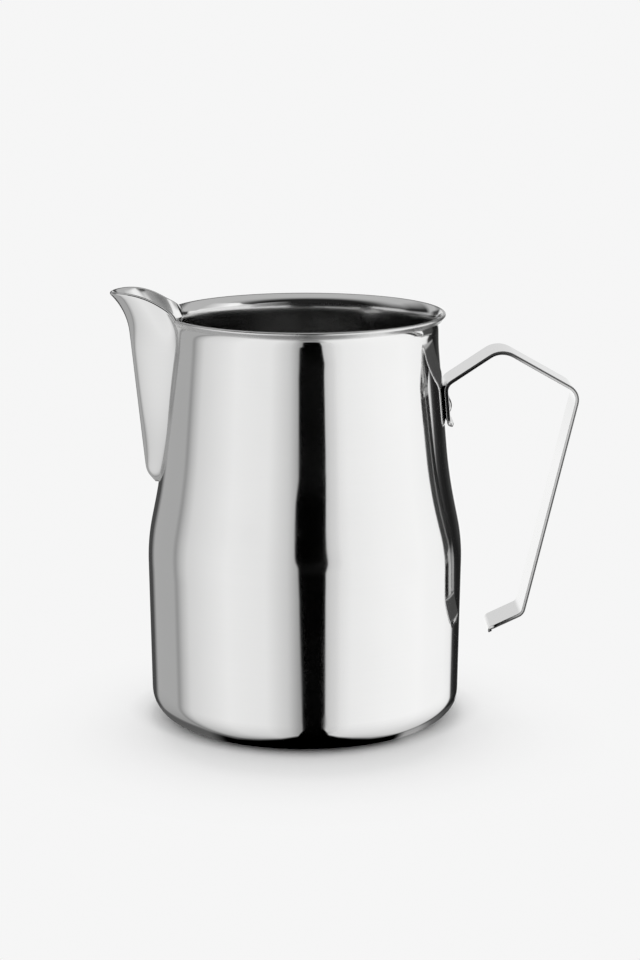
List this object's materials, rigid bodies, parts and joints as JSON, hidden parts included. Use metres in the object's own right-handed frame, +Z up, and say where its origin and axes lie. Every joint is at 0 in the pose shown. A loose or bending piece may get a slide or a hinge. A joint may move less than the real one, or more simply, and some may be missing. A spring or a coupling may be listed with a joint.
{
  "type": "milk frothing pitcher",
  "caption": "Steel milk frothing pitcher: a round-shouldered cup with a flared lip, a welded pouring spout and an open bent-strip handle.",
  "frame": {"origin": "centre of the cup's standing ring, on the surface that it stands on", "axes": "+Z up along the cup's axis; the handle points along +X and the spout along -X; the XZ plane is the plane of symmetry"},
  "size_m": [0.1269, 0.0862, 0.118],
  "materials": {
    "cup_steel": "mirror polished outside, satin inside",
    "spout_steel": "mirror polished",
    "weld_steel": "ground and polished weld",
    "handle_steel": "polished strip",
    "nugget_steel": "polished weld nuggets"
  },
  "bodies": {
    "root": {"body": "cup_steel", "spout": "spout_steel", "spout_weld": "weld_steel", "handle": "handle_steel", "handle_weld_nuggets": "nugget_steel"}
  },
  "joints": []
}
